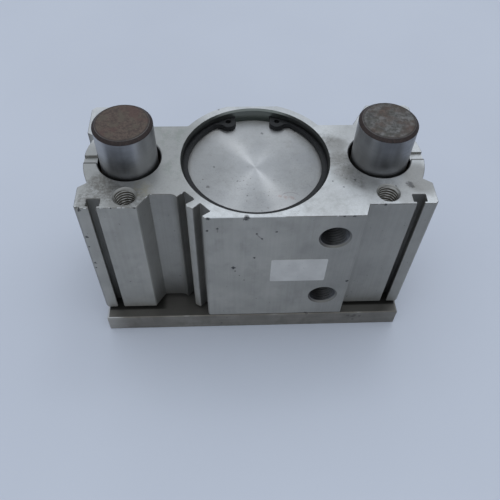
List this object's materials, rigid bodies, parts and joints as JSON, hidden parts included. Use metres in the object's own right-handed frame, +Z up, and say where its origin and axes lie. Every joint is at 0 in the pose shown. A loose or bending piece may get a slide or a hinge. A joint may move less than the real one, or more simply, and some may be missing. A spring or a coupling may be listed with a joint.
{
  "type": "guided pneumatic cylinder",
  "caption": "Compact guided air cylinder: an extruded aluminium body that slides on two guide rods and a piston rod, all fixed to a flat end plate.",
  "frame": {"origin": "middle of the end plate's underside, on which the part stands", "axes": "+X along the pair of guide rods, +Y away from the face with the air ports, +Z up along the rods"},
  "size_m": [0.15, 0.069, 0.1092],
  "materials": {
    "body_aluminium": "matt anodised extrusion with a machined top",
    "cover_aluminium": "turned",
    "rod_steel": "ground and hard-chromed, rusty at the cut ends",
    "plate_steel": "worn plated steel",
    "black_steel": "blackened spring steel",
    "bearing_bronze": "sintered bronze",
    "seal_rubber": "black rubber",
    "urethane": "amber urethane",
    "magnet": "bonded ring magnet"
  },
  "bodies": {
    "carriage": {"end_plate": "plate_steel", "guide_rod_left": "rod_steel", "guide_rod_right": "rod_steel", "piston_rod": "rod_steel", "plate_bolt_left": "black_steel", "plate_bolt_centre": "black_steel", "plate_bolt_right": "black_steel", "piston": "cover_aluminium", "piston_wear_ring": "urethane", "piston_seal": "seal_rubber", "piston_magnet": "magnet", "piston_bolt": "black_steel"},
    "cylinder": {"body": "body_aluminium", "head_cover": "cover_aluminium", "head_cover_seal": "seal_rubber", "head_bumper": "urethane", "head_retaining_ring": "black_steel", "rod_cover": "cover_aluminium", "rod_cover_seal": "seal_rubber", "rod_seal": "seal_rubber", "rod_bushing": "bearing_bronze", "rod_bumper": "urethane", "rod_retaining_ring": "black_steel", "guide_bush_left_upper": "bearing_bronze", "guide_bush_left_lower": "bearing_bronze", "guide_bush_right_upper": "bearing_bronze", "guide_bush_right_lower": "bearing_bronze", "guide_wiper_left": "seal_rubber", "guide_wiper_right": "seal_rubber"}
  },
  "joints": [
    {"name": "body_slide", "type": "slide", "parent": "carriage", "child": "cylinder", "axis": [0, 0, 1], "range_m": [0, 0.025]}
  ]
}
